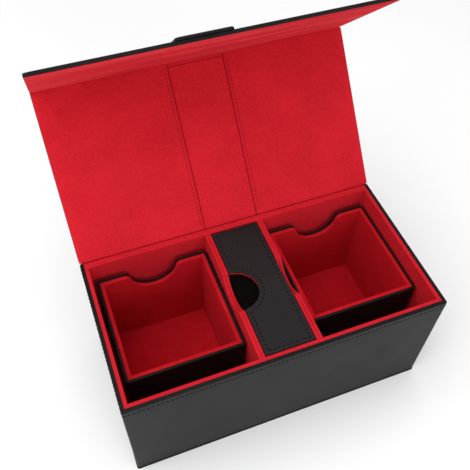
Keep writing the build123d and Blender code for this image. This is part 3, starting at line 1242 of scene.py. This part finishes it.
    def build_fold(self, shop: Workshop) -> None:
        """Build the leather and the suede that carry the flap on the lid."""
        lid, flap = self.lid, self.flap
        middle = self.thick - self.leather / 2
        centre = lid.point(0, self.lid_length, 0)
        bend = lid.angle - flap.angle
        arc = []
        for step in range(self.fold_steps + 1):
            turned = lid.angle - bend * step / self.fold_steps
            arc.append(Leaf(centre.y, centre.z, turned).point(0, 0, middle))
        leather = self.strip(
            shop,
            "fold_leather",
            [
                lid.point(0, self.lid_length - self.fold_lap, middle),
                *arc,
                flap.point(0, self.fold_lap, middle),
            ],
            self.width / 2,
            self.leather,
            shop.palette.lid_leather,
            0.0,
        )
        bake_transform(leather)
        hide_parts("flap_fold_leather")
        deep = self.suede * self.fold_depth
        ends = (
            lid.point(0, self.lid_length - self.fold_gap - self.fold_overlap, deep),
            flap.point(0, self.fold_gap + self.fold_overlap, deep),
        )
        halfway = (lid.outward + flap.outward).normalized()
        corner = centre + halfway * (deep * self.corner_depth)
        suede = self.strip(
            shop,
            "fold_suede",
            [ends[0], corner, ends[1]],
            self.width / 2 - self.leather,
            self.fold_suede,
            shop.palette.suede,
            self.crease_round,
        )
        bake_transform(suede)


@dataclass
class DeckBox:
    """Lift-out box for one deck, leather outside and suede inside."""

    hand: str

    def build(self, shop: Workshop) -> None:
        """Build and dress the box."""
        look, name = shop.palette, f"{self.hand}_deck"
        shop.softened(f"{name}_cover", look.deck_leather, ROLLED_EASE, name)
        # The deck linings take the darker suede copy, which carries painted shade.
        shop.softened(f"{name}_lining", look.deck_suede_painted_shade, SHEET_EASE, name)
        for side in ("floor", "back", "front", "right", "left"):
            shop.dress(f"{name}_{side}_board", look.board)


@dataclass
class Sleeve:
    """Lift-out sleeve between the dividers, sewn round its top and its finger notch."""

    half_width: float = 0.0193
    half_length: float = 0.0575
    top: float = 0.1103
    notch: float = 0.017
    inset: float = 0.0031
    notch_gap: float = 0.0004
    arc_steps: int = 16

    def build(self, shop: Workshop) -> None:
        """Build and dress the sleeve."""
        look = shop.palette
        leather = look.sleeve_leather
        shop.softened("sleeve_cover", leather, SLEEVE_EASE, "sleeve")
        shop.softened("sleeve_lining", look.suede, FINE_EASE, "sleeve")
        for side in ("closed_side", "top", "bottom", "front", "back"):
            shop.dress(f"sleeve_{side}_board", look.board)
        shop.sewn(
            "sleeve_top_stitches",
            [self.top_line()],
            Stitching(width=0.0015, proud=0.0003),
            look.black_thread,
            "sleeve",
        )

    def top_line(self) -> StitchLine:
        """Sewn line round the top face and the notch.

        Returns:
            The closed line.
        """
        x, y, z = self.half_width - self.inset, self.half_length - self.inset, self.top
        reach = self.notch + self.inset + self.notch_gap
        start = asin((self.half_width - x) / reach)
        arc = []
        for step in range(self.arc_steps + 1):
            turn = start + (pi - 2 * start) * step / self.arc_steps
            across = reach * sin(turn) - self.half_width
            arc.append(Vector((across, reach * cos(turn), z)))
        outline = [
            Vector(place) for place in ((-x, -y, z), (x, -y, z), (x, y, z), (-x, y, z))
        ]
        return StitchLine((*arc, *outline, arc[0]), Vector((0, 0, 1)))


@dataclass
class DrawerTray:
    """Drawer tray that lies in the sleeve; its near-black leather is black leather with
    painted shade of the hollow under the notch.
    """

    def build(self, shop: Workshop) -> None:
        """Build and dress the tray."""
        look = shop.palette
        leather = look.tray_leather_painted_shade
        shop.softened("drawer_cover", leather, SHEET_EASE, "drawer")
        shop.softened("drawer_lining", look.suede, FINE_EASE, "drawer")
        for side in ("base", "top", "bottom", "back", "front"):
            shop.dress(f"drawer_{side}_board", look.board)


# ---------------------------------------------------------------- studio
@dataclass(frozen=True)
class Softbox:
    """One soft square lamp."""

    name: str
    place: tuple[float, float, float]
    aim: tuple[float, float, float]
    size: float
    power: float

    def hang(self) -> None:
        """Hang it in the studio, facing its aim."""
        data = bpy.data.lights.new(self.name, "AREA")
        data.shape, data.size, data.energy = "SQUARE", self.size, self.power
        lamp = bpy.data.objects.new(self.name, data)
        lamp.location = self.place
        way = Vector(self.aim) - Vector(self.place)
        lamp.rotation_euler = way.to_track_quat("-Z", "Y").to_euler()
        bpy.context.scene.collection.objects.link(lamp)


@dataclass
class Studio:
    """Pale floor, soft lights and the camera of the photograph."""

    lens: float = 48.10
    eye: tuple[float, float, float] = (-0.11883294, -0.23637378, 0.50935023)
    right: tuple[float, float, float] = (0.9348003, -0.3546419, 0.0194299)
    down: tuple[float, float, float] = (-0.2691625, -0.7430542, -0.6127169)
    ahead: tuple[float, float, float] = (0.2317325, 0.5675381, -0.7900636)
    sensor: float = 36.0
    nearest: float = 0.01
    farthest: float = 20.0
    floor_size: float = 6.0
    floor_cells: int = 4
    sky: Colour = (1.0, 1.0, 1.0, 1.0)
    sky_strength: float = 0.62
    softboxes: tuple[Softbox, ...] = (
        Softbox("key_softbox", (-0.7, -0.05, 1.4), (0, 0, 0.08), 1.4, 12.0),
        Softbox("top_softbox", (0.1, -0.1, 1.7), (0, 0, 0.08), 1.6, 4.5),
        Softbox("front_softbox", (0.1, -1.7, 0.5), (0, 0.1, 0.16), 1.0, 10.5),
    )

    def build(self, palette: Palette) -> None:
        """Build the studio.

        Args:
            palette: The finishes, for the floor.
        """
        self.place_camera()
        self.lay_floor(palette)
        self.light()

    def place_camera(self) -> None:
        """Stand the camera where the photograph was taken."""
        data = bpy.data.cameras.new("photo_camera")
        data.sensor_width, data.lens = self.sensor, self.lens
        data.clip_start, data.clip_end = self.nearest, self.farthest
        camera = bpy.data.objects.new("photo_camera", data)
        axes = (Vector(self.right), -Vector(self.down), -Vector(self.ahead))
        turned = Matrix(axes).transposed().to_4x4()
        camera.matrix_world = Matrix.Translation(self.eye) @ turned
        bpy.context.scene.collection.objects.link(camera)
        bpy.context.scene.camera = camera

    def lay_floor(self, palette: Palette) -> None:
        """Lay the floor under the box.

        Args:
            palette: The finishes.
        """
        mesh, cells = bmesh.new(), self.floor_cells
        bmesh.ops.create_grid(
            mesh, x_segments=cells, y_segments=cells, size=self.floor_size / 2
        )
        data = bpy.data.meshes.new("studio_floor")
        mesh.to_mesh(data)
        mesh.free()
        data.materials.append(palette.floor)
        floor = bpy.data.objects.new("studio_floor", data)
        bpy.context.scene.collection.objects.link(floor)

    def light(self) -> None:
        """Light the studio: pale surroundings and soft lamps."""
        world = bpy.data.worlds.new("pale_studio")
        world.use_nodes = True
        sky = world.node_tree.nodes["Background"]
        sky.inputs["Color"].default_value = self.sky
        sky.inputs["Strength"].default_value = self.sky_strength
        bpy.context.scene.world = world
        bpy.context.scene.view_settings.view_transform = "Standard"
        for softbox in self.softboxes:
            softbox.hang()


def main() -> None:
    """Load the frame, build the studio and each sub-assembly."""
    logging.basicConfig(level=logging.INFO, format="%(message)s")
    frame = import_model()
    palette = Palette()
    shop = Workshop(frame, palette)
    Studio().build(palette)
    for assembly in (
        Case(),
        LidAndFlap(),
        DeckBox("left"),
        DeckBox("right"),
        Sleeve(),
        DrawerTray(),
    ):
        LOG.info("building %s", type(assembly).__name__)
        assembly.build(shop)


if __name__ == "__main__":
    main()
